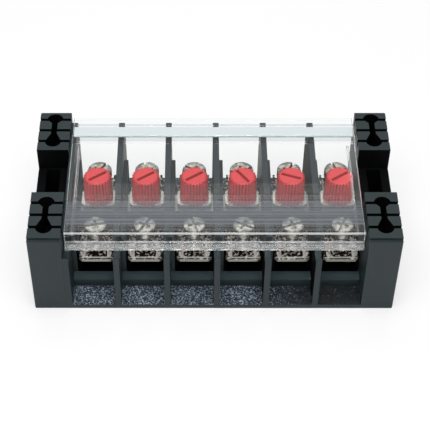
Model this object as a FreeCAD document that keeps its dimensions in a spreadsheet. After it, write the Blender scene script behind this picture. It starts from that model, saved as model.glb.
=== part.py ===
import FreeCAD, Part
import os
import re
import Sketcher

# Shorting terminal block: moulded poles side by side between two end blocks, under a clear lift-off cover.
# Millimetres. X runs along the row of poles, Y from the front to the back, Z up from the resting face.
# The origin is the middle of the bottom. Each pole has a conductor bar with a clamp screw at either end,
# and a red knob that screws a contact plate down onto the bar common to every pole.

doc = FreeCAD.newDocument("ShortingTerminalBlock")
sheet = doc.addObject("Spreadsheet::Sheet", "Sizes")

# Driving sizes: name, value in millimetres or a count, what it is.
drivingSizes = [
    ("poleCount", 6, "poles in the row"),
    ("poleWidth", 16.7, "pitch of the poles along X"),
    ("endWidth", 10.9, "width of an end block along X"),
    ("blockDepth", 61.2, "front face to back face"),
    ("blockHeight", 34.3, "top of the end towers"),
    ("frontTowerDepth", 21.9, "front tower of an end block along Y"),
    ("rearTowerDepth", 19.0, "rear tower of an end block along Y"),
    ("restHeight", 25.4, "seat between the towers and front corner of the walls"),
    ("topStepDepth", 1.2, "step along the front tower's top edge, in Y"),
    ("topStepHeight", 1.0, "the same step in Z"),
    ("endEdge", 0.5, "rounding of an end block's upright outer edges"),
    ("slitWidth", 1.2, "cross slits in the tower tops"),
    ("slitPitch", 5.45, "spacing of the cross slits"),
    ("slitDepth", 3.0, "depth of the cross slits"),
    ("frontSlitInset", 11.5, "middle slit of the front tower from the front face"),
    ("rearSlitInset", 9.0, "middle slit of the rear tower from the back face"),
    ("boneRadius", 2.8, "round ends of the recess in each tower top"),
    ("boneNeck", 2.0, "width of the neck between the round ends"),
    ("boneDepth", 14.0, "depth of that recess"),
    ("recessInset", 5.3, "middle of an end block's recesses from its outer face"),
    ("mountSlotWidth", 4.7, "slot for the mounting screw in the seat"),
    ("mountSlotInset", 0.5, "slot's end from the tower"),
    ("mountWeb", 3.0, "web left under the slot"),
    ("mountHoleRadius", 2.3, "hole for the mounting screw in the web"),
    ("wallThickness", 2.0, "wall between poles"),
    ("wallCorner", 1.5, "cut corner at the back top of a wall"),
    ("partitionHeight", 30.9, "top of the walls between poles"),
    ("ribThickness", 1.4, "thicker middle of the wall"),
    ("ribHeight", 23.0, "top of the thicker middle"),
    ("floorThickness", 1.8, "floor of the wire bays"),
    ("ledgeReach", 22.1, "outer face of the cross ledges from the middle"),
    ("ledgeWidth", 3.8, "cross ledge along Y"),
    ("ledgeHeight", 5.1, "top of the cross ledges"),
    ("coreFront", 8.6, "front of the core under the conductor bar"),
    ("coreRear", 9.0, "back of that core"),
    ("shelfWidth", 1.3, "shelves under the bar's long edges"),
    ("shelfReach", 16.4, "end of those shelves from the middle"),
    ("barSeat", 10.8, "underside of the conductor bar"),
    ("barThickness", 1.2, "conductor bar"),
    ("barSideGap", 0.7, "conductor bar's long edges from the walls"),
    ("barReach", 19.0, "end of the conductor bar from the middle"),
    ("barCorner", 1.0, "cut corners of the bar and the contact plate"),
    ("barGap", 0.1, "room over the bar"),
    ("deckThickness", 2.1, "deck over the bar, under the common bar"),
    ("deckFront", 5.0, "front of the deck from the middle"),
    ("deckRear", 9.6, "back of the deck from the middle"),
    ("ridgeRise", 0.2, "deck ridges above the common bar"),
    ("commonWidth", 8.0, "common bar along Y"),
    ("commonThickness", 1.2, "common bar"),
    ("commonGap", 0.15, "room beside the common bar"),
    ("commonHeadroom", 0.3, "room over the common bar in the walls"),
    ("commonHoleRadius", 3.4, "hole around each shorting screw"),
    ("commonEndGap", 0.5, "common bar's end from the wall beside it"),
    ("knobSetback", 4.6, "axis of the knobs behind the middle"),
    ("contactGap", 1.5, "contact plate above the common bar, knob out"),
    ("contactThickness", 1.2, "contact plate"),
    ("contactDepth", 7.6, "contact plate along Y"),
    ("contactHoleRadius", 2.2, "hole in the contact plate"),
    ("knobRoom", 2.4, "knob's top below the cover, knob out"),
    ("knobRoof", 4.5, "knob over the end of its bore"),
    ("knobTopRadius", 4.7, "knob at its top"),
    ("knobBaseRadius", 5.1, "knob at its base"),
    ("knobEdge", 0.4, "bevel around the knob's top"),
    ("knobGrooves", 30, "grip grooves around the knob"),
    ("knobGrooveWidth", 0.7, "grip groove across"),
    ("knobGrooveDepth", 0.45, "grip groove at the knob's top"),
    ("knobSlotLength", 7.0, "driver slot"),
    ("knobSlotWidth", 1.2, "driver slot"),
    ("knobSlotDepth", 1.6, "driver slot"),
    ("screwRadius", 2.0, "thread of the shorting screws"),
    ("threadFit", 0.05, "room around a thread"),
    ("screwRoom", 0.5, "room around the shorting screw in the deck"),
    ("flangeRadius", 2.9, "flange that traps the contact plate"),
    ("flangeThickness", 0.6, "that flange"),
    ("shortingTail", 1.7, "shorting screw below the conductor bar"),
    ("screwPitFloor", 4.0, "bottom of the shorting screw's pit"),
    ("frontScrewReach", 13.4, "axis of the front clamp screws from the middle"),
    ("rearScrewReach", 14.2, "axis of the rear clamp screws from the middle"),
    ("clampRadius", 1.75, "thread of the clamp screws"),
    ("clampLift", 6.7, "spring washer above the saddle, front screw out"),
    ("rearSink", 1.4, "rear clamp screws further in than the front ones"),
    ("clampTail", 0.7, "clamp screw below the conductor bar"),
    ("frontHeadRadius", 3.75, "head of the front clamp screws"),
    ("rearHeadRadius", 4.2, "head of the rear clamp screws"),
    ("headThickness", 3.0, "clamp screw head"),
    ("headEdge", 0.3, "bevel around the head"),
    ("driveWidth", 1.0, "driver slot and cross in the head"),
    ("driveDepth", 1.4, "driver slot and cross in the head"),
    ("crossReach", 2.2, "arm of the cross"),
    ("springRadius", 3.1, "spring washer"),
    ("springThickness", 1.0, "spring washer"),
    ("springRoom", 0.2, "spring washer around the thread"),
    ("springSplit", 0.6, "split in the spring washer"),
    ("footInset", 0.45, "saddle's foot plate inside the bar's long edges"),
    ("footEndInset", 0.5, "foot plate's end from the bar's"),
    ("footThickness", 0.6, "foot plate"),
    ("saddleDepth", 8.5, "saddle along Y"),
    ("saddleInset", 0.65, "saddle's ears inside the bar's long edges"),
    ("saddleThickness", 0.8, "sheet that the saddle is bent from"),
    ("saddleBend", 1.4, "inner radius of the saddle's bends"),
    ("saddleRoom", 0.4, "saddle around the thread"),
    ("earHeight", 3.4, "saddle's ears from its underside"),
    ("coverThickness", 1.2, "cover plate"),
    ("coverSeatGap", 0.1, "cover above the walls"),
    ("coverFrontInset", 5.0, "cover's front face behind the block's"),
    ("coverRearInset", 0.4, "cover's back edge inside the block's"),
    ("coverSideGap", 0.7, "cover's ends from the end blocks"),
    ("coverEdge", 0.5, "rounding of the cover's front top edge"),
    ("lipThickness", 1.4, "cover's front lip"),
    ("lipBottom", 24.1, "lowest point of the lip"),
    ("beadRadius", 1.5, "bead along the lip"),
    ("beadSetback", 0.6, "bead's middle behind the lip's face"),
    ("beadRoom", 0.5, "room behind the bead in the walls"),
    ("toeThickness", 1.2, "front corner of the walls in front of the bead"),
    ("notchFloor", 22.6, "bottom of the notch for the bead"),
    ("endRibInset", 2.3, "rib under the cover from its end"),
    ("endRibThickness", 0.6, "that rib"),
    ("endRibDrop", 1.0, "that rib below the plate"),
    ("railWidth", 3.1, "front rail of the marking strip"),
    ("railOverhang", 0.4, "front rail's lip over the strip"),
    ("railLipThickness", 0.3, "that lip"),
    ("rearRailWidth", 1.0, "rear rail"),
    ("stripInset", 5.2, "strip's back edge from the cover's"),
    ("stripWidth", 4.8, "marking strip along Y"),
    ("stripThickness", 0.5, "marking strip"),
    ("stripRoom", 0.1, "room around the strip"),
    ("stripEndInset", 0.5, "strip's end from the cover's"),
    ("tieReach", 20.2, "tie rods from the middle"),
    ("tieHeight", 2.9, "tie rods above the resting face"),
    ("tieRadius", 1.1, "tie rod"),
    ("tieRoom", 0.1, "room around a tie rod"),
    ("tieHeadRadius", 2.0, "formed head of a tie rod"),
    ("tieHeadThickness", 1.0, "formed head"),
    ("tieSink", 1.3, "counterbore for a head"),
]

for row, (alias, value, words) in enumerate(drivingSizes, start=1):
    sheet.set(f"A{row}", alias)
    sheet.set(f"B{row}", str(value))
    sheet.set(f"C{row}", words)
    sheet.setAlias(f"B{row}", alias)
doc.recompute()

# Turn of each piece about its own axis, in degrees seen from above, pole by pole.
knobTurns = [35, 35, 35, -54, -20, 35]
frontScrewTurns = [12, 59, 106, 153, 20, 67]
rearScrewTurns = [55, 102, 149, 16, 63, 110]
splitTurn = 90

# Sizes worked out from the driving ones.
workedSizes = {
    "blockWidth": "poleCount * poleWidth + 2 * endWidth",
    "firstPole": "-poleCount * poleWidth / 2",
    "halfDepth": "blockDepth / 2",
    "towerFront": "-halfDepth + frontTowerDepth",
    "towerRear": "halfDepth - rearTowerDepth",
    "seatMiddle": "(towerFront + towerRear) / 2",
    "recessX": "-blockWidth / 2 + recessInset",
    "ribStart": "wallThickness + ribThickness",
    "pitReach": "ledgeReach - ledgeWidth",
    "axisX": "(ribStart + poleWidth) / 2",
    "barWidth": "poleWidth - ribStart - 2 * barSideGap",
    "barTop": "barSeat + barThickness",
    "deckBottom": "barTop + barGap",
    "commonSeat": "deckBottom + deckThickness",
    "commonTop": "commonSeat + commonThickness",
    "ridgeTop": "commonTop + ridgeRise",
    "commonFront": "knobSetback - commonWidth / 2 - commonGap",
    "commonBack": "knobSetback + commonWidth / 2 + commonGap",
    "contactBottom": "commonTop + contactGap",
    "contactTop": "contactBottom + contactThickness",
    "knobTop": "coverUnder - knobRoom",
    "boreTop": "knobTop - knobRoof",
    "saddleTop": "barTop + saddleThickness",
    "saddleReach": "barReach - footEndInset",
    "saddleHalf": "barWidth / 2 - saddleInset",
    "bendEdge": "saddleHalf - saddleThickness - saddleBend",
    "bendTop": "saddleTop + saddleBend",
    "earTop": "barTop + earHeight",
    "springBottom": "saddleTop + clampLift",
    "headBottom": "springBottom + springThickness",
    "headTop": "headBottom + headThickness",
    "coverFront": "-halfDepth + coverFrontInset",
    "coverBack": "halfDepth - coverRearInset",
    "coverUnder": "partitionHeight + coverSeatGap",
    "coverTop": "coverUnder + coverThickness",
    "coverHalf": "poleCount * poleWidth / 2 - coverSideGap",
    "lipBack": "coverFront + lipThickness",
    "beadY": "coverFront + beadSetback",
    "beadZ": "lipBottom + beadRadius",
    "notchBack": "beadY + beadRadius + beadRoom",
    "stripBack": "coverBack - stripInset",
    "rearRailFront": "stripBack + stripRoom",
    "railBack": "stripBack - stripWidth - stripRoom",
    "railFront": "railBack - railWidth",
    "channelTop": "coverTop + stripThickness + stripRoom",
    "railTop": "channelTop + railLipThickness",
}


def bound(text):
    """The expression with every size's name tied to the sheet."""

    def tied(match):
        name = match.group(0)
        if name in workedSizes:
            return "(" + bound(workedSizes[name]) + ")"
        return "Sizes." + name

    return re.sub(r"[A-Za-z]+", tied, text)


def number(text):
    return float(sheet.evalExpression(bound(text)))


def tie(item, property_name, text):
    item.setExpression(property_name, bound(text))


def newBody(name):
    return doc.addObject("PartDesign::Body", name)


def originItem(body, role):
    return [item for item in body.Origin.OriginFeatures if item.Role == role][0]


def newSketch(body, role, offset):
    """A sketch on one of the body's origin planes, moved along the plane's normal."""
    sketch = body.newObject("Sketcher::SketchObject", "Sketch")
    sketch.AttachmentSupport = [(originItem(body, role), "")]
    sketch.MapMode = "FlatFace"
    tie(sketch, "AttachmentOffset.Base.z", offset)
    return sketch


# The sketcher's own numbers for the points of an edge, and for the origin of the sketch.
startPoint = 1
endPoint = 2
centrePoint = 3
originEdge = -1


def fix(sketch, kind, edge, point, text):
    """Ties one coordinate of a point of the sketch to the sheet."""
    index = sketch.addConstraint(Sketcher.Constraint(kind, originEdge, startPoint, edge, point, number(text)))
    tie(sketch, f"Constraints[{index}]", text)


def drawLoop(sketch, corners):
    """A closed outline. A corner is (x, y), or (x, y, cx, cy) where an arc about (cx, cy) leads
    to the next corner, counterclockwise, or clockwise if a fifth value says so."""
    places = [FreeCAD.Vector(number(c[0]), number(c[1]), 0) for c in corners]
    first = sketch.GeometryCount
    total = len(corners)
    for i, corner in enumerate(corners):
        start = places[i]
        end = places[(i + 1) % total]
        if len(corner) == 2:
            sketch.addGeometry(Part.LineSegment(start, end), False)
            continue
        middle = FreeCAD.Vector(number(corner[2]), number(corner[3]), 0)
        circle = Part.Circle(middle, FreeCAD.Vector(0, 0, 1), (start - middle).Length)
        if len(corner) == 5:
            start, end = end, start
        sketch.addGeometry(Part.ArcOfCircle(circle, circle.parameter(start), circle.parameter(end)), False)
    starts = [endPoint if len(corner) == 5 else startPoint for corner in corners]
    for i, corner in enumerate(corners):
        here = first + i
        after = (i + 1) % total
        finish = startPoint if starts[i] == endPoint else endPoint
        sketch.addConstraint(Sketcher.Constraint("Coincident", here, finish, first + after, starts[after]))
        fix(sketch, "DistanceX", here, starts[i], corner[0])
        fix(sketch, "DistanceY", here, starts[i], corner[1])
        if len(corner) == 2:
            continue
        chord = places[(i + 1) % total] - places[i]
        if abs(chord.x) >= abs(chord.y):
            fix(sketch, "DistanceY", here, centrePoint, corner[3])
        else:
            fix(sketch, "DistanceX", here, centrePoint, corner[2])


def drawBox(sketch, left, right, low, high):
    drawLoop(sketch, [(left, low), (right, low), (right, high), (left, high)])


def drawCircle(sketch, x, y, radius):
    circle = Part.Circle(FreeCAD.Vector(number(x), number(y), 0), FreeCAD.Vector(0, 0, 1), number(radius))
    edge = sketch.addGeometry(circle, False)
    index = sketch.addConstraint(Sketcher.Constraint("Radius", edge, number(radius)))
    tie(sketch, f"Constraints[{index}]", radius)
    fix(sketch, "DistanceX", edge, centrePoint, x)
    fix(sketch, "DistanceY", edge, centrePoint, y)


def pad(body, sketch, length, symmetric=False):
    """Material from the sketch along its plane's normal, or to both sides of it."""
    feature = body.newObject("PartDesign::Pad", "Pad")
    feature.Profile = sketch
    if symmetric:
        feature.SideType = "Symmetric"
    tie(feature, "Length", length)
    return feature


def pocket(body, sketch, depth, symmetric=False):
    """A cut from the sketch against its plane's normal, or to both sides of it."""
    feature = body.newObject("PartDesign::Pocket", "Pocket")
    feature.Profile = sketch
    if symmetric:
        feature.SideType = "Symmetric"
    tie(feature, "Length", depth)
    return feature


def revolve(body, corners):
    """A turned piece: the outline lies in the XZ plane and turns about Z."""
    sketch = newSketch(body, "XZ_Plane", "0")
    drawLoop(sketch, corners)
    feature = body.newObject("PartDesign::Revolution", "Revolution")
    feature.Profile = sketch
    feature.ReferenceAxis = (sketch, ["V_Axis"])
    feature.Angle = 360
    return feature


def placed(name, source, x, y="0", z="0", turn=0.0):
    """A sub-part that is a copy of a form, at its own place."""
    copy = doc.addObject("Part::Compound", name)
    copy.Label = name
    copy.Links = [source]
    copy.Placement = FreeCAD.Placement(FreeCAD.Vector(), FreeCAD.Rotation(FreeCAD.Vector(0, 0, 1), turn))
    tie(copy, "Placement.Base.x", x)
    tie(copy, "Placement.Base.y", y)
    tie(copy, "Placement.Base.z", z)
    return copy


def poleAxis(pole):
    """X of a pole's middle line, poles counted from 0 at the left."""
    return f"firstPole + {pole} * poleWidth + axisX"


def makeEndBlock():
    """Left end block: two towers, the seat for the mounting screw between them and the cross slits."""
    body = newBody("left_end_block")
    side = newSketch(body, "YZ_Plane", "-blockWidth / 2")
    drawLoop(side, [
        ("-halfDepth", "0"),
        ("halfDepth", "0"),
        ("halfDepth", "blockHeight"),
        ("towerRear", "blockHeight"),
        ("towerRear", "restHeight"),
        ("towerFront", "restHeight"),
        ("towerFront", "blockHeight"),
        ("-halfDepth + topStepDepth", "blockHeight"),
        ("-halfDepth + topStepDepth", "blockHeight - topStepHeight"),
        ("-halfDepth", "blockHeight - topStepHeight"),
    ])
    mass = pad(body, side, "endWidth")
    doc.recompute()
    outer = -number("blockWidth") / 2
    upright = [
        f"Edge{i}" for i, edge in enumerate(mass.Shape.Edges, start=1)
        if all(abs(abs(v.Y) - number("halfDepth")) < 0.01 and abs(v.X - outer) < 0.01 for v in edge.Vertexes)
    ]
    rounding = body.newObject("PartDesign::Fillet", "Rounding")
    rounding.Base = (mass, upright)
    tie(rounding, "Radius", "endEdge")

    slits = newSketch(body, "YZ_Plane", "-blockWidth / 2 + endWidth")
    for middle in ("-halfDepth + frontSlitInset", "halfDepth - rearSlitInset"):
        for step in (-1, 0, 1):
            centre = f"{middle} + {step} * slitPitch"
            drawBox(slits, f"{centre} - slitWidth / 2", f"{centre} + slitWidth / 2",
                    "blockHeight - slitDepth", "blockHeight + slitDepth")
    pocket(body, slits, "endWidth")

    bones = newSketch(body, "XY_Plane", "blockHeight")
    for middle in ("-halfDepth + frontSlitInset", "halfDepth - rearSlitInset"):
        left = "recessX - boneRadius"
        right = "recessX + boneRadius"
        neckLeft = "recessX - boneNeck / 2"
        neckRight = "recessX + boneNeck / 2"
        back = f"{middle} + slitPitch"
        front = f"{middle} - slitPitch"
        taper = "boneRadius + boneNeck / 2"
        drawLoop(bones, [
            (right, back, "recessX", back),
            (left, back),
            (neckLeft, f"{back} - {taper}"),
            (neckLeft, f"{front} + {taper}"),
            (left, front, "recessX", front),
            (right, front),
            (neckRight, f"{front} + {taper}"),
            (neckRight, f"{back} - {taper}"),
        ])
    pocket(body, bones, "boneDepth")

    slot = newSketch(body, "XY_Plane", "restHeight")
    drawBox(slot, "recessX - mountSlotWidth / 2", "recessX + mountSlotWidth / 2",
            "towerFront + mountSlotInset", "towerRear - mountSlotInset")
    pocket(body, slot, "restHeight - mountWeb")
    hole = newSketch(body, "XY_Plane", "restHeight")
    drawCircle(hole, "recessX", "seatMiddle", "mountHoleRadius")
    pocket(body, hole, "restHeight")

    rods = newSketch(body, "YZ_Plane", "-blockWidth / 2 + endWidth")
    heads = newSketch(body, "YZ_Plane", "-blockWidth / 2 + tieSink")
    for side_sign in ("-", ""):
        drawCircle(rods, f"{side_sign}tieReach", "tieHeight", "tieRadius + tieRoom")
        drawCircle(heads, f"{side_sign}tieReach", "tieHeight", "tieHeadRadius + tieRoom")
    pocket(body, rods, "endWidth")
    pocket(body, heads, "tieSink")

    mirrored = doc.addObject("Part::Mirroring", "right_end_block")
    mirrored.Label = "right_end_block"
    mirrored.Source = body
    mirrored.Normal = FreeCAD.Vector(1, 0, 0)
    return [body, mirrored]


def makeHousings():
    """Pole housing: left wall with its thicker middle, floor with two cross ledges, core and deck.
    The right side is open, and the next pole's wall or the end block closes it."""
    form = newBody("pole_form")
    wall = newSketch(form, "YZ_Plane", "0")
    drawLoop(wall, [
        ("-halfDepth", "0"),
        ("halfDepth", "0"),
        ("halfDepth", "partitionHeight - wallCorner"),
        ("halfDepth - wallCorner", "partitionHeight"),
        ("notchBack", "partitionHeight"),
        ("notchBack", "notchFloor"),
        ("-halfDepth + toeThickness", "notchFloor"),
        ("-halfDepth", "restHeight"),
    ])
    pad(form, wall, "wallThickness")
    rib = newSketch(form, "YZ_Plane", "0")
    drawBox(rib, "-pitReach", "pitReach", "0", "ribHeight")
    pad(form, rib, "ribStart")

    bed = newSketch(form, "YZ_Plane", "0")
    drawLoop(bed, [
        ("-halfDepth", "0"),
        ("halfDepth", "0"),
        ("halfDepth", "floorThickness"),
        ("ledgeReach", "floorThickness"),
        ("ledgeReach", "ledgeHeight"),
        ("pitReach", "ledgeHeight"),
        ("pitReach", "floorThickness"),
        ("coreRear", "floorThickness"),
        ("coreRear", "barSeat"),
        ("-coreFront", "barSeat"),
        ("-coreFront", "floorThickness"),
        ("-pitReach", "floorThickness"),
        ("-pitReach", "ledgeHeight"),
        ("-ledgeReach", "ledgeHeight"),
        ("-ledgeReach", "floorThickness"),
        ("-halfDepth", "floorThickness"),
    ])
    pad(form, bed, "poleWidth")
    for start in ("ribStart", "poleWidth - shelfWidth"):
        shelf = newSketch(form, "YZ_Plane", start)
        drawBox(shelf, "-shelfReach", "shelfReach", "0", "barSeat")
        pad(form, shelf, "shelfWidth")

    deck = newSketch(form, "YZ_Plane", "0")
    drawLoop(deck, [
        ("-deckFront", "deckBottom"),
        ("deckRear", "deckBottom"),
        ("deckRear", "ridgeTop"),
        ("commonBack", "ridgeTop"),
        ("commonBack", "commonSeat"),
        ("commonFront", "commonSeat"),
        ("commonFront", "ridgeTop"),
        ("-deckFront", "ridgeTop"),
    ])
    pad(form, deck, "poleWidth")
    window = newSketch(form, "YZ_Plane", "ribStart")
    drawBox(window, "commonFront", "commonBack", "commonSeat", "commonTop + commonHeadroom")
    pocket(form, window, "ribStart")
    pit = newSketch(form, "XY_Plane", "ridgeTop")
    drawCircle(pit, "axisX", "knobSetback", "screwRadius + screwRoom")
    pocket(form, pit, "ridgeTop - screwPitFloor")
    rods = newSketch(form, "YZ_Plane", "poleWidth")
    for side_sign in ("-", ""):
        drawCircle(rods, f"{side_sign}tieReach", "tieHeight", "tieRadius + tieRoom")
    pocket(form, rods, "poleWidth")

    count = int(number("poleCount"))
    return [placed(f"pole_housing_{k + 1}", form, f"firstPole + {k} * poleWidth") for k in range(count)]


def cutCornerPlate(sketch, halfX, halfY):
    """Rectangle about the sketch's origin with its four corners cut."""
    drawLoop(sketch, [
        (f"-{halfX}", f"-{halfY} + barCorner"),
        (f"-{halfX} + barCorner", f"-{halfY}"),
        (f"{halfX} - barCorner", f"-{halfY}"),
        (f"{halfX}", f"-{halfY} + barCorner"),
        (f"{halfX}", f"{halfY} - barCorner"),
        (f"{halfX} - barCorner", f"{halfY}"),
        (f"-{halfX} + barCorner", f"{halfY}"),
        (f"-{halfX}", f"{halfY} - barCorner"),
    ])


def makeConductors():
    """Conductor bars of all poles, and the common bar that runs through the walls over them."""
    form = newBody("bar_form")
    outline = newSketch(form, "XY_Plane", "barSeat")
    cutCornerPlate(outline, "barWidth / 2", "barReach")
    drawCircle(outline, "0", "knobSetback", "screwRadius + threadFit")
    for y in ("-frontScrewReach", "rearScrewReach"):
        drawCircle(outline, "0", y, "clampRadius + threadFit")
    pad(form, outline, "barThickness")
    count = int(number("poleCount"))
    bars = groupOf("conductor_bars", form, [poleAxis(k) for k in range(count)], "0")

    common = newBody("common_bar")
    outline = newSketch(common, "XY_Plane", "commonSeat")
    drawBox(outline, "firstPole + ribStart + commonEndGap", "-firstPole - commonEndGap",
            "commonFront + commonGap", "commonBack - commonGap")
    for k in range(count):
        drawCircle(outline, poleAxis(k), "knobSetback", "commonHoleRadius")
    pad(common, outline, "commonThickness")
    return [bars, common]


def groupOf(name, source, places, y):
    """One sub-part of like pieces, each a copy of the source moved along X."""
    copies = [placed(f"{name}_copy_{i + 1}", source, x, y) for i, x in enumerate(places)]
    group = doc.addObject("Part::Compound", name)
    group.Label = name
    group.Links = copies
    return group


def makeShorting():
    """Per pole: the contact plate, the steel screw that carries it and the ribbed knob on the screw."""
    plate = newBody("contact_form")
    outline = newSketch(plate, "XY_Plane", "contactBottom")
    cutCornerPlate(outline, "barWidth / 2", "contactDepth / 2")
    drawCircle(outline, "0", "0", "contactHoleRadius")
    pad(plate, outline, "contactThickness")

    screw = newBody("shorting_screw_form")
    revolve(screw, [
        ("0", "barSeat - shortingTail"),
        ("screwRadius", "barSeat - shortingTail"),
        ("screwRadius", "contactBottom - flangeThickness"),
        ("flangeRadius", "contactBottom - flangeThickness"),
        ("flangeRadius", "contactBottom"),
        ("screwRadius", "contactBottom"),
        ("screwRadius", "boreTop"),
        ("0", "boreTop"),
    ])

    knob = newBody("knob_form")
    revolve(knob, [
        ("0", "boreTop"),
        ("screwRadius + threadFit", "boreTop"),
        ("screwRadius + threadFit", "contactTop"),
        ("knobBaseRadius", "contactTop"),
        ("knobTopRadius", "knobTop - knobEdge"),
        ("knobTopRadius - knobEdge", "knobTop"),
        ("0", "knobTop"),
    ])
    slot = newSketch(knob, "XY_Plane", "knobTop")
    drawBox(slot, "-knobSlotLength / 2", "knobSlotLength / 2", "-knobSlotWidth / 2", "knobSlotWidth / 2")
    pocket(knob, slot, "knobSlotDepth")
    groove = newSketch(knob, "XY_Plane", "knobTop")
    drawLoop(groove, [
        ("knobTopRadius - knobGrooveDepth", "0"),
        ("knobBaseRadius + knobGrooveDepth", "-knobGrooveWidth"),
        ("knobBaseRadius + knobGrooveDepth", "knobGrooveWidth"),
    ])
    cut = pocket(knob, groove, "knobTop - contactTop")
    ring = knob.newObject("PartDesign::PolarPattern", "Grip")
    ring.Originals = [cut]
    ring.Axis = (originItem(knob, "Z_Axis"), [""])
    ring.Angle = 360
    ring.Occurrences = int(number("knobGrooves"))
    knob.Tip = ring

    parts = []
    for k in range(int(number("poleCount"))):
        x = poleAxis(k)
        turn = knobTurns[k % len(knobTurns)]
        parts.append(placed(f"contact_plate_{k + 1}", plate, x, "knobSetback"))
        parts.append(placed(f"shorting_screw_{k + 1}", screw, x, "knobSetback"))
        parts.append(placed(f"shorting_knob_{k + 1}", knob, x, "knobSetback", turn=turn))
    return parts


def makeSaddle(row, start, axisY):
    """Saddle: a sheet bent up into two ears over a foot plate that ends near the bar's end."""
    saddle = newBody(f"{row}_saddle_form")
    across = newSketch(saddle, "XZ_Plane", f"-({start} + saddleDepth)")
    drawLoop(across, [
        ("-bendEdge", "barTop"),
        ("bendEdge", "barTop", "bendEdge", "bendTop"),
        ("saddleHalf", "bendTop"),
        ("saddleHalf", "earTop"),
        ("saddleHalf - saddleThickness", "earTop"),
        ("saddleHalf - saddleThickness", "bendTop", "bendEdge", "bendTop", "clockwise"),
        ("bendEdge", "saddleTop"),
        ("-bendEdge", "saddleTop", "-bendEdge", "bendTop", "clockwise"),
        ("-saddleHalf + saddleThickness", "bendTop"),
        ("-saddleHalf + saddleThickness", "earTop"),
        ("-saddleHalf", "earTop"),
        ("-saddleHalf", "bendTop", "-bendEdge", "bendTop"),
    ])
    pad(saddle, across, "saddleDepth")
    foot = newSketch(saddle, "XY_Plane", "barTop")
    drawBox(foot, "-barWidth / 2 + footInset", "barWidth / 2 - footInset", start, f"{start} + saddleDepth")
    pad(saddle, foot, "footThickness")
    hole = newSketch(saddle, "XY_Plane", "saddleTop")
    drawCircle(hole, "0", axisY, "clampRadius + saddleRoom")
    pocket(saddle, hole, "saddleThickness")
    return saddle


def makeClampScrew(row, headSize):
    """Clamp screw with a driver slot across its head and a shorter slot across that."""
    screw = newBody(f"{row}_clamp_screw_form")
    revolve(screw, [
        ("0", "barSeat - clampTail"),
        ("clampRadius", "barSeat - clampTail"),
        ("clampRadius", "headBottom"),
        (headSize, "headBottom"),
        (headSize, "headTop - headEdge"),
        (f"{headSize} - headEdge", "headTop"),
        ("0", "headTop"),
    ])
    drive = newSketch(screw, "XY_Plane", "headTop")
    drawBox(drive, f"-{headSize}", headSize, "-driveWidth / 2", "driveWidth / 2")
    pocket(screw, drive, "driveDepth")
    cross = newSketch(screw, "XY_Plane", "headTop")
    drawBox(cross, "-driveWidth / 2", "driveWidth / 2", "-crossReach", "crossReach")
    pocket(screw, cross, "driveDepth")
    return screw


def makeClamps():
    """Front and rear clamps: saddle on the conductor bar, screw with its spring washer above it."""
    washer = newBody("spring_washer_form")
    ring = newSketch(washer, "XY_Plane", "springBottom")
    drawCircle(ring, "0", "0", "springRadius")
    drawCircle(ring, "0", "0", "clampRadius + springRoom")
    pad(washer, ring, "springThickness")
    split = newSketch(washer, "XY_Plane", "headBottom")
    drawBox(split, "0", "springRadius + springSplit", "-springSplit / 2", "springSplit / 2")
    pocket(washer, split, "springThickness")

    count = int(number("poleCount"))
    rows = (
        ("front", "-saddleReach", "-frontScrewReach", "frontHeadRadius", "0", frontScrewTurns),
        ("rear", "saddleReach - saddleDepth", "rearScrewReach", "rearHeadRadius", "-rearSink", rearScrewTurns),
    )
    parts = []
    for row, start, y, headSize, z, turns in rows:
        saddle = makeSaddle(row, start, y)
        screw = makeClampScrew(row, headSize)
        parts.append(groupOf(f"{row}_saddles", saddle, [poleAxis(k) for k in range(count)], "0"))
        for k in range(count):
            x = poleAxis(k)
            turn = turns[k % len(turns)]
            parts.append(placed(f"{row}_spring_washer_{k + 1}", washer, x, y, z, turn + splitTurn))
            parts.append(placed(f"{row}_clamp_screw_{k + 1}", screw, x, y, z, turn))
    return parts


def makeCover():
    """Clear cover with its beaded front lip and the rails on top that hold the marking strip."""
    cover = newBody("clear_cover")
    section = newSketch(cover, "YZ_Plane", "0")
    drawLoop(section, [
        ("coverFront", "beadZ"),
        ("lipBack", "beadZ"),
        ("lipBack", "coverUnder"),
        ("coverBack", "coverUnder"),
        ("coverBack", "coverTop"),
        ("rearRailFront + rearRailWidth", "coverTop"),
        ("rearRailFront + rearRailWidth", "railTop"),
        ("rearRailFront", "railTop"),
        ("rearRailFront", "coverTop"),
        ("railBack", "coverTop"),
        ("railBack", "channelTop"),
        ("railBack + railOverhang", "channelTop"),
        ("railBack + railOverhang", "railTop"),
        ("railFront", "railTop"),
        ("railFront", "coverTop"),
        ("coverFront + coverEdge", "coverTop", "coverFront + coverEdge", "coverTop - coverEdge"),
        ("coverFront", "coverTop - coverEdge"),
    ])
    pad(cover, section, "2 * coverHalf", symmetric=True)
    bead = newSketch(cover, "YZ_Plane", "0")
    drawCircle(bead, "beadY", "beadZ", "beadRadius")
    pad(cover, bead, "2 * coverHalf", symmetric=True)
    for start in ("-coverHalf + endRibInset", "coverHalf - endRibInset - endRibThickness"):
        rib = newSketch(cover, "YZ_Plane", start)
        drawBox(rib, "lipBack", "railFront", "coverUnder - endRibDrop", "coverTop")
        pad(cover, rib, "endRibThickness")

    strip = doc.addObject("Part::Box", "marking_strip")
    strip.Label = "marking_strip"
    tie(strip, "Length", "2 * (coverHalf - stripEndInset)")
    tie(strip, "Width", "stripWidth")
    tie(strip, "Height", "stripThickness")
    tie(strip, "Placement.Base.x", "-coverHalf + stripEndInset")
    tie(strip, "Placement.Base.y", "railBack + stripRoom")
    tie(strip, "Placement.Base.z", "coverTop")
    return [cover, strip]


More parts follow.
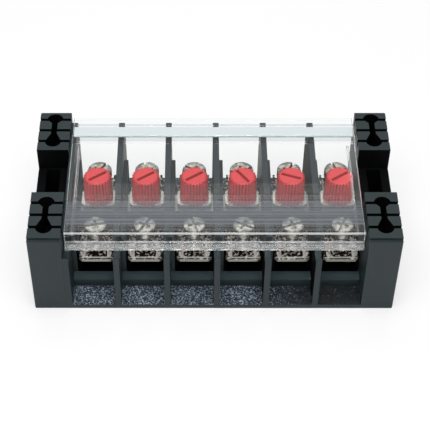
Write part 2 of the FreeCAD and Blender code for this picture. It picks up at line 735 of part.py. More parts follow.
def makeTieRods():
    """Two rods with formed heads that hold the row of poles between the end blocks."""
    rod = newBody("tie_rod_form")
    reach = "(blockWidth / 2 - tieSink + tieHeadThickness)"
    shank = newSketch(rod, "YZ_Plane", "0")
    drawCircle(shank, "0", "tieHeight", "tieRadius")
    pad(rod, shank, f"2 * {reach}", symmetric=True)
    for start in (f"-{reach}", f"{reach} - tieHeadThickness"):
        head = newSketch(rod, "YZ_Plane", start)
        drawCircle(head, "0", "tieHeight", "tieHeadRadius")
        pad(rod, head, "tieHeadThickness")
    group = doc.addObject("Part::Compound", "tie_rods")
    group.Label = "tie_rods"
    group.Links = [placed("front_rod", rod, "0", "-tieReach"), placed("rear_rod", rod, "0", "tieReach")]
    return [group]


subParts = []
for make in (makeEndBlock, makeHousings, makeConductors, makeShorting, makeClamps, makeCover, makeTieRods):
    subParts.extend(make())
    print(make.__name__, "done")
doc.recompute()

for item in doc.Objects:
    if "Invalid" in item.State or "Error" in item.State:
        raise RuntimeError(f"{item.Label} failed: {item.State}")

cuts = ("PartDesign::Pocket", "PartDesign::PolarPattern", "PartDesign::Fillet")
for item in doc.Objects:
    if item.TypeId in cuts or item.TypeId == "PartDesign::Pad":
        before = item.BaseFeature.Shape.Volume if item.BaseFeature else 0.0
        change = item.Shape.Volume - before
        if (item.TypeId == "PartDesign::Pad") != (change > 0) or abs(change) < 1e-6:
            raise RuntimeError(f"{item.Label} of {item.getParentGeoFeatureGroup().Label} changed nothing")

os.makedirs("parts", exist_ok=True)
for part in subParts:
    shape = part.Shape
    if shape.isNull() or not shape.isValid() or not shape.Solids:
        raise RuntimeError(f"{part.Label} has no valid solid")
    shape.exportStep(f"parts/{part.Label}.step")
print(len(subParts), "sub-parts written")
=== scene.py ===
import math

import bmesh
import bpy
from mathutils import Matrix, Vector


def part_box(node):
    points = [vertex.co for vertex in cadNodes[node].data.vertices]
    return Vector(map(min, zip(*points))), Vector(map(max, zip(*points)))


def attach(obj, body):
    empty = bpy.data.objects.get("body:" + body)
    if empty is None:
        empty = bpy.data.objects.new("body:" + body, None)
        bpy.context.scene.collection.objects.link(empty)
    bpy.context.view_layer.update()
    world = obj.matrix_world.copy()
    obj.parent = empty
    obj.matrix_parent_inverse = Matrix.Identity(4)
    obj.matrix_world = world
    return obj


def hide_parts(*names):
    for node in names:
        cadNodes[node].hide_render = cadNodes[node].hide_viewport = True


# Shorting terminal block: six poles between two end blocks under a clear cover.
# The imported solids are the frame. Each piece is dressed here and rides on its own body.

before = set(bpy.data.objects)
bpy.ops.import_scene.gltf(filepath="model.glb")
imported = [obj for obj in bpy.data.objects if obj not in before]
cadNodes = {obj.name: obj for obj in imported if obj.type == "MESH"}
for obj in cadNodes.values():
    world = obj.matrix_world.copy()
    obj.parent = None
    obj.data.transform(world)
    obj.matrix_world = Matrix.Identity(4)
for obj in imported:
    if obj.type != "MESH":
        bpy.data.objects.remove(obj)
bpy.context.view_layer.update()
mm = 0.001
poles = range(1, 7)
print("frame loaded")


# Materials

def linear(hexColour):
    parts = [int(hexColour[i:i + 2], 16) / 255 for i in (1, 3, 5)]
    return [c / 12.92 if c <= 0.04045 else ((c + 0.055) / 1.055) ** 2.4 for c in parts] + [1.0]


def addNode(tree, kind, values=None):
    # values: a socket by name or number, or one of the node's own properties, with the constant that it gets
    # or the other node's output that it takes.
    node = tree.nodes.new(kind)
    for key, value in (values or {}).items():
        if isinstance(value, bpy.types.NodeSocket):
            tree.links.new(value, node.inputs[key])
        elif isinstance(key, int) or key in node.inputs:
            node.inputs[key].default_value = value
        else:
            setattr(node, key, value)
    return node


def newMaterial(name):
    material = bpy.data.materials.new(name)
    material.use_nodes = True
    material.node_tree.nodes.clear()
    return material, material.node_tree


def endWith(tree, shader):
    addNode(tree, "ShaderNodeOutputMaterial", {"Surface": shader})


def objectPlace(tree):
    return addNode(tree, "ShaderNodeTexCoord").outputs["Object"]


def axesOf(tree, place):
    return addNode(tree, "ShaderNodeSeparateXYZ", {"Vector": place}).outputs


def arithmetic(tree, operation, first, second):
    return addNode(tree, "ShaderNodeMath", {"operation": operation, 0: first, 1: second}).outputs[0]


def product(tree, first, second):
    return arithmetic(tree, "MULTIPLY", first, second)


def rangeOf(tree, source, low, high, fromLow=0.0, fromHigh=1.0):
    return addNode(tree, "ShaderNodeMapRange",
                   {"Value": source, "From Min": fromLow, "From Max": fromHigh,
                    "To Min": low, "To Max": high}).outputs[0]


def fade(tree, axis, start, end, low, high):
    # From low at start to high at end, both in mm along the axis, and level beyond them.
    return rangeOf(tree, axis, low, high, start * mm, end * mm)


def noise(tree, place, size, detail, roughness=0.5):
    # size: of the grains, in mm.
    return addNode(tree, "ShaderNodeTexNoise",
                   {"Vector": place, "Scale": 1 / (size * mm), "Detail": detail,
                    "Roughness": roughness}).outputs["Fac"]


def blend(tree, share, low, high):
    return addNode(tree, "ShaderNodeMix", {"data_type": "RGBA", 0: share, 6: low, 7: high}).outputs[2]


def mixShaders(tree, share, low, high):
    return addNode(tree, "ShaderNodeMixShader", {0: share, 1: low, 2: high}).outputs[0]


def bumpFrom(tree, height, strength, depth):
    # depth: of the relief, in mm.
    return addNode(tree, "ShaderNodeBump",
                   {"Height": height, "Strength": strength, "Distance": depth * mm}).outputs[0]


# Nearly all values of a noise lie in the wide span, and most of them in the narrow one.
wideSpan = (0.3, 0.7)
narrowSpan = (0.4, 0.6)


def mouldedPbt(name, look):
    # Black PBT, injection moulded against a spark-eroded tool: an even satin grain and faint flow marks. The
    # paler ledge copy is painted light.
    material, tree = newMaterial(name)
    place = objectPlace(tree)
    grain = noise(tree, place, look["grain"], 4.0, 0.6)
    flow = noise(tree, place, look["flow"], 2.0)
    shader = addNode(tree, "ShaderNodeBsdfPrincipled",
                     {"Base Color": blend(tree, flow, linear(look["dark"]), linear(look["light"])),
                      "Roughness": rangeOf(tree, grain, look["smooth"], look["rough"], *wideSpan),
                      "Normal": bumpFrom(tree, grain, look["bump"], look["bumpDepth"]),
                      "IOR": look["index"], "Specular IOR Level": look["shine"]})
    endWith(tree, shader.outputs[0])
    return material


plasticLook = {"dark": "#1f2b2e", "light": "#263235", "grain": 0.35, "flow": 9.0, "shine": 0.35, "index": 1.5,
               "smooth": 0.42, "rough": 0.56, "bump": 0.25, "bumpDepth": 0.03}
# A paler copy: painted light on the ledge tops.
ledgePaintedLightLook = dict(plasticLook, dark="#303d40", light="#384548")
# Near black: painted shade for the slits, the recesses and the cores under the bars.
paintedShadeLook = dict(plasticLook, dark="#070809", light="#0b0c0e", shine=0.04, smooth=0.6, rough=0.75)
# Pale flecks painted into the colour as glints; the base darkens towards the right.
floorPaintedGlintsLook = {"dark": "#222e39", "light": "#b3c3d3", "dull": "#12181c", "grain": 0.52, "shine": 0.6, "index": 1.5,
              "smooth": 0.1, "rough": 0.25, "bump": 1.0, "bumpDepth": 0.5,
              "left": (0.505, 0.655), "right": (0.62, 0.84), "start": 14.0, "end": 34.0}


def pbtWithPaintedGlints(name, look):
    # The bay floors: the same PBT from a coarsely polished part of the tool, so that it glitters, with pale
    # flecks painted into its colour as glints, more of them on the four poles at the left than on the last two,
    # as in the photograph. The base colour darkens towards the right.
    material, tree = newMaterial(name)
    place = objectPlace(tree)
    along = axesOf(tree, place)["X"]
    flecks = noise(tree, place, look["grain"], 3.0, 0.7)
    low = fade(tree, along, look["start"], look["end"], look["left"][0], look["right"][0])
    high = fade(tree, along, look["start"], look["end"], look["left"][1], look["right"][1])
    base = blend(tree, fade(tree, along, look["start"], look["end"], 0.0, 1.0),
                 linear(look["dark"]), linear(look["dull"]))
    # Painted glints: pale flecks mixed into the colour.
    tint = blend(tree, rangeOf(tree, flecks, 0.0, 1.0, low, high), base, linear(look["light"]))
    shader = addNode(tree, "ShaderNodeBsdfPrincipled",
                     {"Base Color": tint,
                      "Roughness": rangeOf(tree, flecks, look["smooth"], look["rough"], *wideSpan),
                      "Normal": bumpFrom(tree, flecks, look["bump"], look["bumpDepth"]),
                      "IOR": look["index"], "Specular IOR Level": look["shine"]})
    endWith(tree, shader.outputs[0])
    return material


housingPlastic = mouldedPbt("mouldedPbt", plasticLook)
ledgePaintedLightPlastic = mouldedPbt("mouldedPbtLedgePaintedLight", ledgePaintedLightLook)
paintedShadePlastic = mouldedPbt("pbtPaintedShade", paintedShadeLook)
bayFloorPaintedGlints = pbtWithPaintedGlints("pbtFloorPaintedGlints", floorPaintedGlintsLook)

coverLook = {"colour": "#fcfdfd", "roughness": 0.02, "index": 1.45, "waves": 14.0, "bump": 0.08,
             "bumpDepth": 0.05, "plateTop": 32.15, "railTop": 33.0, "railTint": "#e2e8e8", "linePitch": 0.9}
paintedReflectionLook = {"colour": "#f2f4f4", "low": 0.02, "high": 0.18, "edge": -2.3, "atEdge": 0.2, "full": (-13.0, -19.0),
            "front": -25.0, "atFront": 0.5, "ends": (44.0, 48.0), "atEnds": 0.4}
paintedVeilLook = {"colour": "#6e7278", "low": 0.5, "high": 0.8, "edge": -10.0, "full": (-14.0, -21.2), "front": -22.0}
# Shares of white painted on the cover's edges and bead as highlight.
paintedEdgeHighlight = {"edge": 0.08, "frontEdge": 0.5, "bead": 0.12}


def withPaintedLight(tree, clear, amount, colour):
    # A share of lit diffuse colour over the clear plastic, as painted reflection and highlight.
    paintedLayer = addNode(tree, "ShaderNodeBsdfDiffuse", {"Color": linear(colour)}).outputs[0]
    return mixShaders(tree, amount, clear, paintedLayer)


def clearSheet(name, look):
    # Flat walls of injection-moulded polycarbonate from a polished tool: too thin to shift what is behind
    # them, with a mirror film on the outside.
    material, tree = newMaterial(name)
    place = objectPlace(tree)
    axes = axesOf(tree, place)
    bump = bumpFrom(tree, noise(tree, place, look["waves"], 1.0), look["bump"], look["bumpDepth"])
    rail = arithmetic(tree, "GREATER_THAN", axes["Z"], look["railTop"] * mm)
    tint = blend(tree, rail, linear(look["colour"]), linear(look["railTint"]))
    through = addNode(tree, "ShaderNodeBsdfTransparent", {"Color": tint}).outputs[0]
    film = addNode(tree, "ShaderNodeBsdfGlossy", {"Roughness": look["roughness"], "Normal": bump}).outputs[0]
    mirror = addNode(tree, "ShaderNodeFresnel", {"IOR": look["index"], "Normal": bump}).outputs[0]
    inside = addNode(tree, "ShaderNodeNewGeometry").outputs["Backfacing"]
    clear = mixShaders(tree, product(tree, mirror, rangeOf(tree, inside, 1.0, 0.0)), through, film)
    # Painted reflection over the front half, and a painted grey veil over the front screws.
    amount, paintedVeil = paintedFrontReflection(tree, axes, look)
    withPaintedReflection = withPaintedLight(tree, clear, amount, paintedReflectionLook["colour"])
    endWith(tree, withPaintedLight(tree, withPaintedReflection, paintedVeil, paintedVeilLook["colour"]))
    return material


def paintedFrontReflection(tree, axes, look):
    # The front half of the top carries a painted reflection in fine lines along the row, with a painted grey veil
    # over the front screws, as the photograph shows it.
    y = axes["Y"]
    lines = addNode(tree, "ShaderNodeTexNoise",
                    {"noise_dimensions": "1D", "Scale": 1.0, "Detail": 2.0, "Roughness": 0.6,
                     "W": arithmetic(tree, "DIVIDE", y, look["linePitch"] * mm)}).outputs["Fac"]
    zone = product(tree, arithmetic(tree, "LESS_THAN", y, paintedReflectionLook["edge"] * mm),
                   arithmetic(tree, "GREATER_THAN", axes["Z"], look["plateTop"] * mm))
    back = fade(tree, y, paintedReflectionLook["full"][0], paintedReflectionLook["edge"], 1.0, paintedReflectionLook["atEdge"])
    front = fade(tree, y, paintedReflectionLook["front"], paintedReflectionLook["full"][1], paintedReflectionLook["atFront"], 1.0)
    ends = fade(tree, arithmetic(tree, "ABSOLUTE", axes["X"], 0.0), *paintedReflectionLook["ends"], 1.0, paintedReflectionLook["atEnds"])
    veil = rangeOf(tree, lines, paintedReflectionLook["low"], paintedReflectionLook["high"], *narrowSpan)
    amount = product(tree, zone, product(tree, product(tree, product(tree, front, ends), back), veil))
    band = product(tree, fade(tree, y, paintedVeilLook["full"][0], paintedVeilLook["edge"], 1.0, 0.0),
                   fade(tree, y, paintedVeilLook["front"], paintedVeilLook["full"][1], 0.0, 1.0))
    veilLines = rangeOf(tree, lines, paintedVeilLook["low"], paintedVeilLook["high"], *narrowSpan)
    return amount, product(tree, product(tree, band, zone), veilLines)


def clearEdge(name, look, amount):
    # Rounded edges and the bead of the same plastic: thick enough to bend light, with a white share painted on as
    # highlight.
    material, tree = newMaterial(name)
    clear = addNode(tree, "ShaderNodeBsdfPrincipled",
                    {"Base Color": linear(look["colour"]), "Roughness": look["roughness"], "IOR": look["index"],
                     "Transmission Weight": 1.0})
    endWith(tree, withPaintedLight(tree, clear.outputs[0], amount, paintedReflectionLook["colour"]))
    return material


coverPlastic = clearSheet("clearPolycarbonate", coverLook)
coverEdgePlastic = clearEdge("clearPolycarbonateEdge", coverLook, paintedEdgeHighlight["edge"])
coverFrontEdgePlastic = clearEdge("clearPolycarbonateFrontEdge", coverLook, paintedEdgeHighlight["frontEdge"])
coverBeadPlastic = clearEdge("clearPolycarbonateBead", coverLook, paintedEdgeHighlight["bead"])

stripLook = {"dark": "#c8d1d4", "light": "#d2dadc", "fibre": 0.4, "bump": 0.15, "bumpDepth": 0.02,
             "roughness": 0.6, "index": 1.53}


def markingCard(name, look):
    # Matt PVC strip for writing pole numbers on.
    material, tree = newMaterial(name)
    fibre = noise(tree, objectPlace(tree), look["fibre"], 3.0)
    shader = addNode(tree, "ShaderNodeBsdfPrincipled",
                     {"Base Color": blend(tree, fibre, linear(look["dark"]), linear(look["light"])),
                      "Normal": bumpFrom(tree, fibre, look["bump"], look["bumpDepth"]),
                      "Roughness": look["roughness"], "IOR": look["index"]})
    endWith(tree, shader.outputs[0])
    return material


stripCard = markingCard("markingPvc", stripLook)

knobLook = {"dark": "#d6343a", "light": "#e33f44", "rib": "#ff4c50", "groove": "#c92f34", "skin": 0.1,
            "grooveDepth": 1.0, "low": 18.1, "high": 28.4, "skinLow": 5.1, "skinHigh": 4.7, "grain": 0.3,
            "cloud": 4.0, "bump": 0.2, "bumpDepth": 0.02, "smooth": 0.42, "rough": 0.55, "index": 1.54,
            "scatter": 0.35, "scatterColour": (1.0, 0.25, 0.2), "scatterDepth": 1.2}


def mouldedAbs(name, look):
    # Red ABS, satin: light goes a little way into it. Painted shade darkens the grooves between the ribs, and the
    # sides are painted lighter than the top as light.
    material, tree = newMaterial(name)
    place = objectPlace(tree)
    grain = noise(tree, place, look["grain"], 3.0)
    cloud = noise(tree, place, look["cloud"], 2.0)
    height = axesOf(tree, place)["Z"]
    flat = addNode(tree, "ShaderNodeVectorMath", {"operation": "MULTIPLY", 0: place, 1: (1, 1, 0)}).outputs[0]
    radius = addNode(tree, "ShaderNodeVectorMath", {"operation": "LENGTH", 0: flat}).outputs["Value"]
    skin = rangeOf(tree, height, look["skinLow"] * mm, look["skinHigh"] * mm, look["low"] * mm, look["high"] * mm)
    # Painted shade: darker where the surface lies below the ribs' skin.
    below = arithmetic(tree, "SUBTRACT", skin, radius)
    groove = fade(tree, below, look["skin"], look["grooveDepth"], 0.0, 1.0)
    side = arithmetic(tree, "LESS_THAN", height, look["high"] * mm)
    tint = blend(tree, cloud, linear(look["dark"]), linear(look["light"]))
    # Painted light: the sides lighter than the top.
    tint = blend(tree, side, tint, linear(look["rib"]))
    tint = blend(tree, product(tree, groove, side), tint, linear(look["groove"]))
    shader = addNode(tree, "ShaderNodeBsdfPrincipled",
                     {"Base Color": tint,
                      "Roughness": rangeOf(tree, grain, look["smooth"], look["rough"], *wideSpan),
                      "Normal": bumpFrom(tree, grain, look["bump"], look["bumpDepth"]),
                      "IOR": look["index"], "Subsurface Weight": look["scatter"],
                      "Subsurface Radius": look["scatterColour"], "Subsurface Scale": look["scatterDepth"] * mm})
    endWith(tree, shader.outputs[0])
    return material


knobPlastic = mouldedAbs("redAbs", knobLook)

steelLook = {"dark": "#e8e5dc", "light": "#f6f4ee", "metallic": 0.45, "smooth": 0.12, "rough": 0.3,
             "scratches": 0.25, "bump": 0.3, "bumpDepth": 0.02, "cloud": 2.5, "span": (0.0, 1.0)}
brassLook = dict(steelLook, dark="#dfdacd", light="#f0ece1", metallic=0.6, smooth=0.14, rough=0.32)
mattLook = dict(steelLook, dark="#23221f", light="#d5d2c8", metallic=1.0, smooth=0.42, rough=0.58, bump=0.5,
                cloud=0.9, span=(0.53, 0.6))
screwLook = dict(steelLook, dark="#86837a", light="#d4d1c7", metallic=0.9, smooth=0.2, rough=0.4, bump=0.5,
                 cloud=1.1, span=(0.4, 0.6))


def platedMetal(name, look):
    # Barrel-plated nickel over steel or brass: bright and slightly warm, with fine rubbing marks from tumbling.
    material, tree = newMaterial(name)
    place = objectPlace(tree)
    scratches = noise(tree, place, look["scratches"], 5.0, 0.7)
    cloud = rangeOf(tree, noise(tree, place, look["cloud"], 2.0), 0.0, 1.0, *look["span"])
    shader = addNode(tree, "ShaderNodeBsdfPrincipled",
                     {"Base Color": blend(tree, cloud, linear(look["dark"]), linear(look["light"])),
                      "Roughness": rangeOf(tree, scratches, look["smooth"], look["rough"], *wideSpan),
                      "Normal": bumpFrom(tree, scratches, look["bump"], look["bumpDepth"]),
                      "Metallic": look["metallic"]})
    endWith(tree, shader.outputs[0])
    return material


nickelSteel = platedMetal("nickelledSteel", steelLook)
nickelBrass = platedMetal("nickelledBrass", brassLook)
mattSteel = platedMetal("nickelledSteelMatt", mattLook)
rolledSteel = platedMetal("nickelledSteelScrew", screwLook)
print("materials made")


# Making pieces

sharpAngle = math.radians(30)
# A face lies square to an axis when its normal has at least this part along it.
square = 0.9


def addObject(name, data):
    thing = bpy.data.objects.new(name, data)
    bpy.context.scene.collection.objects.link(thing)
    return thing


def cleanCopy(node):
    # The node's own form as a fresh mesh: its triangles joined into flat faces again.
    form = bmesh.new()
    form.from_mesh(cadNodes[node].data)
    bmesh.ops.remove_doubles(form, verts=form.verts, dist=0.001 * mm)
    bmesh.ops.dissolve_limit(form, angle_limit=math.radians(0.5), verts=form.verts, edges=form.edges)
    return form


def plainMesh(form, name):
    mesh = bpy.data.meshes.new(name)
    form.to_mesh(mesh)
    form.free()
    return mesh


def shaded(mesh):
    mesh.shade_smooth()
    mesh.set_sharp_from_angle(angle=sharpAngle)
    return mesh


def toMesh(form, name, material):
    mesh = plainMesh(form, name)
    mesh.materials.append(material)
    return shaded(mesh)


def show(name, mesh, body, node, place=None):
    piece = addObject(name, mesh)
    if place:
        piece.matrix_world = place
    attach(piece, body)
    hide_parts(node)
    return piece


def soften(piece, radius, segments=2):
    edge = piece.modifiers.new("edges", "BEVEL")
    edge.width = radius * mm
    edge.segments = segments
    edge.limit_method = "ANGLE"
    edge.angle_limit = sharpAngle
    edge.harden_normals = True
    edge.use_clamp_overlap = True
    return piece


def dressed(node, body, material, radius, segments=2):
    piece = show("dressed_" + node, toMesh(cleanCopy(node), node, material), body, node)
    return soften(piece, radius, segments)


def paint(piece, materials, choose):
    # choose: gives the number of each face's material, counted from 1, or 0 where the first one stays.
    for material in materials:
        piece.data.materials.append(material)
    for face in piece.data.polygons:
        face.material_index = choose(face)


def axisOf(node):
    # Upright, through the middle of the node.
    low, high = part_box(node)
    middle = (low + high) / 2
    return Matrix.Translation((middle.x, middle.y, 0))


def turned(degrees):
    return Matrix.Rotation(math.radians(degrees), 4, "Z")


def lathe(profile, steps, radiusAt=None):
    # A closed turned form about Z. profile: (radius, z) from the bottom's middle to the top's middle, in mm.
    form = bmesh.new()
    rings = []
    for radius, z in profile:
        if radius == 0:
            rings.append([form.verts.new((0, 0, z * mm))])
            continue
        ring = []
        for i in range(steps):
            turn = 2 * math.pi * i / steps
            r = (radiusAt(radius, z, turn) if radiusAt else radius) * mm
            ring.append(form.verts.new((r * math.cos(turn), r * math.sin(turn), z * mm)))
        rings.append(ring)
    for low, high in zip(rings, rings[1:]):
        for i in range(steps):
            j = (i + 1) % steps
            corners = [low[i % len(low)], low[j % len(low)], high[j % len(high)], high[i % len(high)]]
            unique = list(dict.fromkeys(corners))
            if len(unique) > 2:
                form.faces.new(unique)
    bmesh.ops.recalc_face_normals(form, faces=form.faces)
    return form


def roundedRim(radius, high, edge):
    # Points of a profile round the upper rim of a turned form.
    return [(radius - edge * (1 - math.cos(a)), high - edge * (1 - math.sin(a)))
            for a in (math.radians(30), math.radians(60), math.radians(90))]


def block(low, high):
    form = bmesh.new()
    bmesh.ops.create_cube(form, size=1)
    size = Vector(high) - Vector(low)
    bmesh.ops.scale(form, vec=size * mm, verts=form.verts)
    bmesh.ops.translate(form, vec=(Vector(high) + Vector(low)) / 2 * mm, verts=form.verts)
    return form


def cutAway(mesh, cutters):
    # The mesh less the cutters' forms, as a new mesh with the same material.
    body = addObject("work", mesh)
    tools = []
    for cutter in cutters:
        tool = addObject("tool", plainMesh(cutter, "tool"))
        cut = body.modifiers.new("cut", "BOOLEAN")
        cut.object = tool
        cut.operation = "DIFFERENCE"
        cut.solver = "EXACT"
        tools.append(tool)
    bpy.context.view_layer.update()
    made = bpy.data.meshes.new_from_object(body.evaluated_get(bpy.context.evaluated_depsgraph_get()))
    for thing in tools + [body]:
        bpy.data.objects.remove(thing)
    return shaded(made)


# End blocks and pole housings

endBlock = {"edge": 0.25, "outer": 60.4, "inner": 50.2, "front": 30.5, "step": 33.2, "foot": 0.1}


def endBlockLook(face):
    # Satin on the outer skin, with painted shade in the slits, the recesses and the screw's seat.
    x, y, z = (abs(v) / mm for v in face.center)
    across, along = abs(face.normal.x) > square, abs(face.normal.y) > square
    skin = (x > endBlock["outer"] or (across and x < endBlock["inner"]) or (along and y > endBlock["front"])
            or z > endBlock["step"] or z < endBlock["foot"])
    return 0 if skin else 1


for side in ("left", "right"):
    piece = dressed(f"{side}_end_block", "block", housingPlastic, endBlock["edge"], 3)
    paint(piece, [paintedShadePlastic], endBlockLook)

housing = {"edge": 0.18, "floorTop": 1.8, "floorReach": 22.1, "coreReach": 18.0, "coreLow": 0.1, "coreTop": 12.2,
           "ledgeTop": 5.1, "near": 0.05}


def housingLook(face):
    # Bay floors with glints painted into their colour, painted shade on the cores under the bars, and ledge tops
    # painted paler as light.
    away, height, upward = abs(face.center.y) / mm, face.center.z / mm, face.normal.z > square
    if upward and abs(height - housing["floorTop"]) < housing["near"] and away > housing["floorReach"]:
        return 1
    # Cores under the bars: painted shade.
    if away < housing["coreReach"] and housing["coreLow"] < height < housing["coreTop"]:
        return 2
    # Ledge tops: painted light.
    if upward and abs(height - housing["ledgeTop"]) < housing["near"]:
        return 3
    return 0


for pole in poles:
    piece = dressed(f"pole_housing_{pole}", "block", housingPlastic, housing["edge"])
    paint(piece, [bayFloorPaintedGlints, paintedShadePlastic, ledgePaintedLightPlastic], housingLook)
print("housings dressed")


# Conductors and contact plates

metalEdge = 0.12


def upperFaces(face):
    # Those of the bars and saddles stay matt from the press, with dark blotches.
    return 1 if face.normal.z > square else 0


dressed("common_bar", "block", nickelBrass, metalEdge)
dressed("tie_rods", "block", nickelSteel, metalEdge)
paint(dressed("conductor_bars", "block", nickelBrass, metalEdge), [mattSteel], upperFaces)
for node in ("front_saddles", "rear_saddles"):
    paint(dressed(node, "block", nickelSteel, metalEdge), [mattSteel], upperFaces)
for pole in poles:
    dressed(f"contact_plate_{pole}", f"contact_{pole}", nickelBrass, metalEdge)
print("conductors dressed")


# Knobs

knob = {"low": 18.1, "high": 28.6, "baseRadius": 5.1, "topRadius": 4.7, "edge": 0.2, "foot": 0.15, "rings": 6,
        "ribs": 24, "ribDepth": 1.0, "ribPower": 0.8, "ribSteps": 10, "ribbedFrom": 3.5, "crownRing": 0.6,
        "boreRadius": 2.05, "boreTop": 24.1, "slotLength": 7.0, "slotWidth": 1.2, "slotDepth": 1.6,
        "turns": [35, 35, 35, -54, -20, 35]}
# How far a cutter stands out of the form that it cuts.
clear = 1.0


def ribbed(radius, z, turn):
    if radius < knob["ribbedFrom"]:
        return radius
    wave = abs(math.cos(knob["ribs"] * turn / 2))
    return radius - knob["ribDepth"] * (1 - wave) ** knob["ribPower"]


def knobMesh():
    low, high, edge, rings = knob["low"], knob["high"], knob["edge"], knob["rings"]
    base, top, bore = knob["baseRadius"], knob["topRadius"], knob["boreRadius"]
    start = low + knob["foot"]
    profile = [(0, knob["boreTop"]), (bore, knob["boreTop"]), (bore, low)]
    profile += [(base - knob["foot"], low), (base, start)]
    profile += [(base + (top - base) * i / rings, start + (high - edge - start) * i / rings)
                for i in range(1, rings + 1)]
    profile += roundedRim(top, high, edge) + [(top - edge - knob["crownRing"], high), (0, high)]
    mesh = toMesh(lathe(profile, knob["ribs"] * knob["ribSteps"], ribbed), "knob", knobPlastic)
    half, wide = knob["slotLength"] / 2, knob["slotWidth"] / 2
    return cutAway(mesh, [block((-half, -wide, high - knob["slotDepth"]), (half, wide, high + clear))])


ribbedKnob = knobMesh()
for pole, turn in zip(poles, knob["turns"]):
    node = f"shorting_knob_{pole}"
    show(f"knob_{pole}_ribbed", ribbedKnob, f"knob_{pole}", node, axisOf(node) @ turned(turn))
print("knobs made")


# Screws

clampScrew = {"radius": 1.75, "pitch": 0.6, "threadDepth": 0.36, "headLow": 20.5, "headHigh": 23.5,
              "headEdge": 0.35, "headFoot": 0.12, "tail": 10.1, "neck": 0.2, "driveWidth": 1.0,
              "driveDepth": 1.4, "crossDepth": 1.7, "crossReach": 2.2, "steps": 56}
clampRows = {
    "front": {"headRadius": 3.75, "sink": 0.0, "turns": [12, 59, 106, 153, 20, 67]},
    "rear": {"headRadius": 4.2, "sink": 1.4, "turns": [55, 102, 149, 16, 63, 110]},
}
shortingScrew = {"radius": 2.0, "pitch": 0.7, "threadDepth": 0.42, "tail": 9.1, "neck": 0.1, "flangeLow": 16.3,
                 "flangeHigh": 16.9, "flangeRadius": 2.9, "flangeEdge": 0.1, "top": 24.1, "steps": 28}
threadTip = {"narrow": 0.4, "length": 0.3, "ringsPerTurn": 8, "power": 0.8}


def threadedShank(thread, shoulder):
    # The profile from the tip to the shoulder, and the radius at a point of it. The crest climbs by the pitch
    # in a turn, right-handed, and is left out at either end.
    radius, pitch = thread["radius"], thread["pitch"]
    low, high = thread["tail"] + threadTip["length"], shoulder - thread["neck"]
    count = int((high - low) / pitch * threadTip["ringsPerTurn"])
    rings = [(radius, low + (high - low) * i / count) for i in range(count + 1)]
    profile = [(0, thread["tail"]), (radius - threadTip["narrow"], thread["tail"])] + rings + [(radius, shoulder)]

    def radiusAt(wide, z, turn):
        if wide != radius or not low < z < high:
            return wide
        phase = (z / pitch - turn / (2 * math.pi)) % 1
        return wide - thread["threadDepth"] * (1 - abs(2 * phase - 1)) ** threadTip["power"]
    return profile, radiusAt


def clampScrewMesh(row):
    low, high, foot = clampScrew["headLow"], clampScrew["headHigh"], clampScrew["headFoot"]
    wide, edge = clampRows[row]["headRadius"], clampScrew["headEdge"]
    profile, radiusAt = threadedShank(clampScrew, low)
    profile += [(wide - foot, low), (wide, low + foot), (wide, high - edge)]
    profile += roundedRim(wide, high, edge) + [(0, high)]
    mesh = toMesh(lathe(profile, clampScrew["steps"], radiusAt), f"{row}ClampScrew", rolledSteel)
    half, reach = clampScrew["driveWidth"] / 2, clampScrew["crossReach"]
    slot = block((-wide - clear, -half, high - clampScrew["driveDepth"]), (wide + clear, half, high + clear))
    cross = block((-half, -reach, high - clampScrew["crossDepth"]), (half, reach, high + clear))
    return cutAway(mesh, [slot, cross])


def shortingScrewMesh():
    low, high, top = shortingScrew["flangeLow"], shortingScrew["flangeHigh"], shortingScrew["top"]
    wide, edge, radius = shortingScrew["flangeRadius"], shortingScrew["flangeEdge"], shortingScrew["radius"]
    profile, radiusAt = threadedShank(shortingScrew, low)
    profile += [(wide - edge, low), (wide, low + edge), (wide, high - edge), (wide - edge, high)]
    profile += [(radius, high), (radius, top), (0, top)]
    return toMesh(lathe(profile, shortingScrew["steps"], radiusAt), "shortingScrew", nickelSteel)


flangedScrew = shortingScrewMesh()
for pole in poles:
    node = f"shorting_screw_{pole}"
    show(f"screw_{pole}_shorting", flangedScrew, f"knob_{pole}", node, axisOf(node))


# Spring washers

washer = {"inner": 1.95, "outer": 3.1, "low": 19.5, "high": 20.5, "rise": 0.2, "gap": 11, "steps": 48,
          "edge": 0.12, "turn": 90}


def washerMesh():
    # A square wire wound for one turn: its two ends stand a little apart in height.
    form = bmesh.new()
    loops = []
    inner, outer, gap = washer["inner"], washer["outer"], washer["gap"]
    thick = washer["high"] - washer["low"] - washer["rise"]
    for i in range(washer["steps"] + 1):
        t = i / washer["steps"]
        turn = math.radians(gap + (360 - 2 * gap) * t)
        low = washer["low"] + washer["rise"] * t
        corners = [(inner, low), (outer, low), (outer, low + thick), (inner, low + thick)]
        loops.append([form.verts.new((r * mm * math.cos(turn), r * mm * math.sin(turn), z * mm))
                      for r, z in corners])
    for a, b in zip(loops, loops[1:]):
        for i in range(4):
            form.faces.new((a[i], b[i], b[(i + 1) % 4], a[(i + 1) % 4]))
    form.faces.new(loops[0])
    form.faces.new(loops[-1][::-1])
    bmesh.ops.recalc_face_normals(form, faces=form.faces)
    return toMesh(form, "springWasher", nickelSteel)


splitRing = washerMesh()
for row, look in clampRows.items():
    headedScrew = clampScrewMesh(row)
    for pole, turn in zip(poles, look["turns"]):
        screwNode, washerNode = f"{row}_clamp_screw_{pole}", f"{row}_spring_washer_{pole}"
        axis = axisOf(screwNode) @ Matrix.Translation((0, 0, -look["sink"] * mm))
        show(f"{row}_screw_{pole}_threaded", headedScrew, f"{row}_screw_{pole}", screwNode,
             axis @ turned(turn))
        ring = show(f"{row}_washer_{pole}_split", splitRing, f"{row}_washer_{pole}", washerNode,
                    axis @ turned(turn + washer["turn"]))
        soften(ring, washer["edge"])
print("screws and washers made")


# Clear cover and marking strip

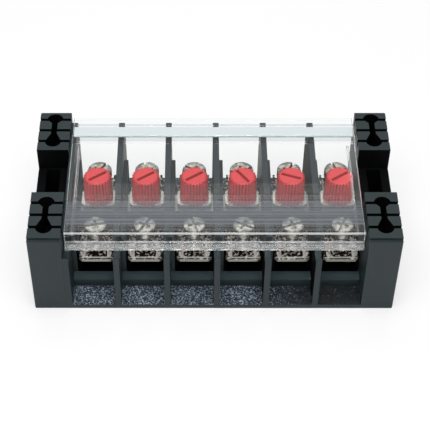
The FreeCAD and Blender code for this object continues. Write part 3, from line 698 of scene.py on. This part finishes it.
cover = {"edge": 0.2, "stripEdge": 0.08, "beadTop": 27.15, "slant": 0.05}


def coverFaces(face):
    # The bead and the rounded front edge have materials of their own.
    if face.center.z / mm < cover["beadTop"]:
        return 2
    return 3 if face.normal.y < -cover["slant"] and face.normal.z > cover["slant"] else 0


clearCover = dressed("clear_cover", "cover", coverPlastic, cover["edge"], 3)
clearCover.visible_shadow = False
paint(clearCover, [coverEdgePlastic, coverBeadPlastic, coverFrontEdgePlastic], coverFaces)
clearCover.modifiers["edges"].material = 1
dressed("marking_strip", "cover", stripCard, cover["stripEdge"])
print("cover dressed")


# Floor, light and camera

white = (1, 1, 1, 1)
studio = {"floor": "#f8f8f8", "reach": 3.0, "glow": 0.6, "sky": 0.42, "mirrored": 0.25,
          "key": {"place": (-0.03, -0.2, 0.55), "size": (0.5, 0.3), "power": 2.0},
          "top": {"place": (0, 0.02, 0.6), "size": (0.1, 0.1), "power": 0.5},
          "back": {"place": (0, 0.55, 0.6), "size": (0.8, 0.5), "power": 1.2}}


def seenDirectly(tree):
    # 1 for what the camera sees, straight or through glass.
    path = addNode(tree, "ShaderNodeLightPath").outputs
    return arithmetic(tree, "MAXIMUM", path["Is Camera Ray"], path["Is Transmission Ray"])


def paleTable():
    # Matt white paper that glows a little, so that it is white round the object and keeps a soft shadow.
    material, tree = newMaterial("paleTable")
    paper = addNode(tree, "ShaderNodeBsdfDiffuse", {"Color": linear(studio["floor"])}).outputs[0]
    glow = addNode(tree, "ShaderNodeEmission", {"Color": white, "Strength": 1.0}).outputs[0]
    endWith(tree, mixShaders(tree, product(tree, seenDirectly(tree), studio["glow"]), paper, glow))
    return material


sheet = bmesh.new()
bmesh.ops.create_grid(sheet, x_segments=1, y_segments=1, size=studio["reach"])
table = addObject("table", plainMesh(sheet, "table"))
table.data.materials.append(paleTable())

for spot in ("key", "top", "back"):
    look = studio[spot]
    lamp = bpy.data.lights.new(spot + "Softbox", "AREA")
    lamp.shape = "RECTANGLE"
    lamp.size, lamp.size_y = look["size"]
    lamp.energy = look["power"]
    holder = addObject(spot + "Softbox", lamp)
    holder.location = look["place"]
    holder.rotation_euler = (-Vector(look["place"])).to_track_quat("-Z", "Y").to_euler()

world = bpy.data.worlds.new("studioSky")
world.use_nodes = True
sky = world.node_tree
sky.nodes.clear()
glossy = addNode(sky, "ShaderNodeLightPath").outputs["Is Glossy Ray"]
strength = arithmetic(sky, "MAXIMUM", seenDirectly(sky), rangeOf(sky, glossy, studio["sky"], studio["mirrored"]))
air = addNode(sky, "ShaderNodeBackground", {"Color": white, "Strength": strength})
addNode(sky, "ShaderNodeOutputWorld", {"Surface": air.outputs[0]})
bpy.context.scene.world = world

camera = {"place": (-0.00632, -0.30793, 0.34015), "pitch": 47.084, "yaw": -0.303, "roll": -0.207,
          "lens": 107.25, "sensor": 36, "shift": (0.0568, 0.0225), "nearest": 0.01}
eye = bpy.data.cameras.new("eye")
eye.sensor_width = camera["sensor"]
eye.lens = camera["lens"]
eye.shift_x, eye.shift_y = camera["shift"]
eye.clip_start = camera["nearest"]
view = addObject("eye", eye)
view.matrix_world = (Matrix.Translation(camera["place"]) @ turned(-camera["yaw"])
                     @ Matrix.Rotation(math.radians(90 - camera["pitch"]), 4, "X") @ turned(camera["roll"]))
bpy.context.scene.camera = view
bpy.context.scene.view_settings.view_transform = "Standard"
print("studio set")
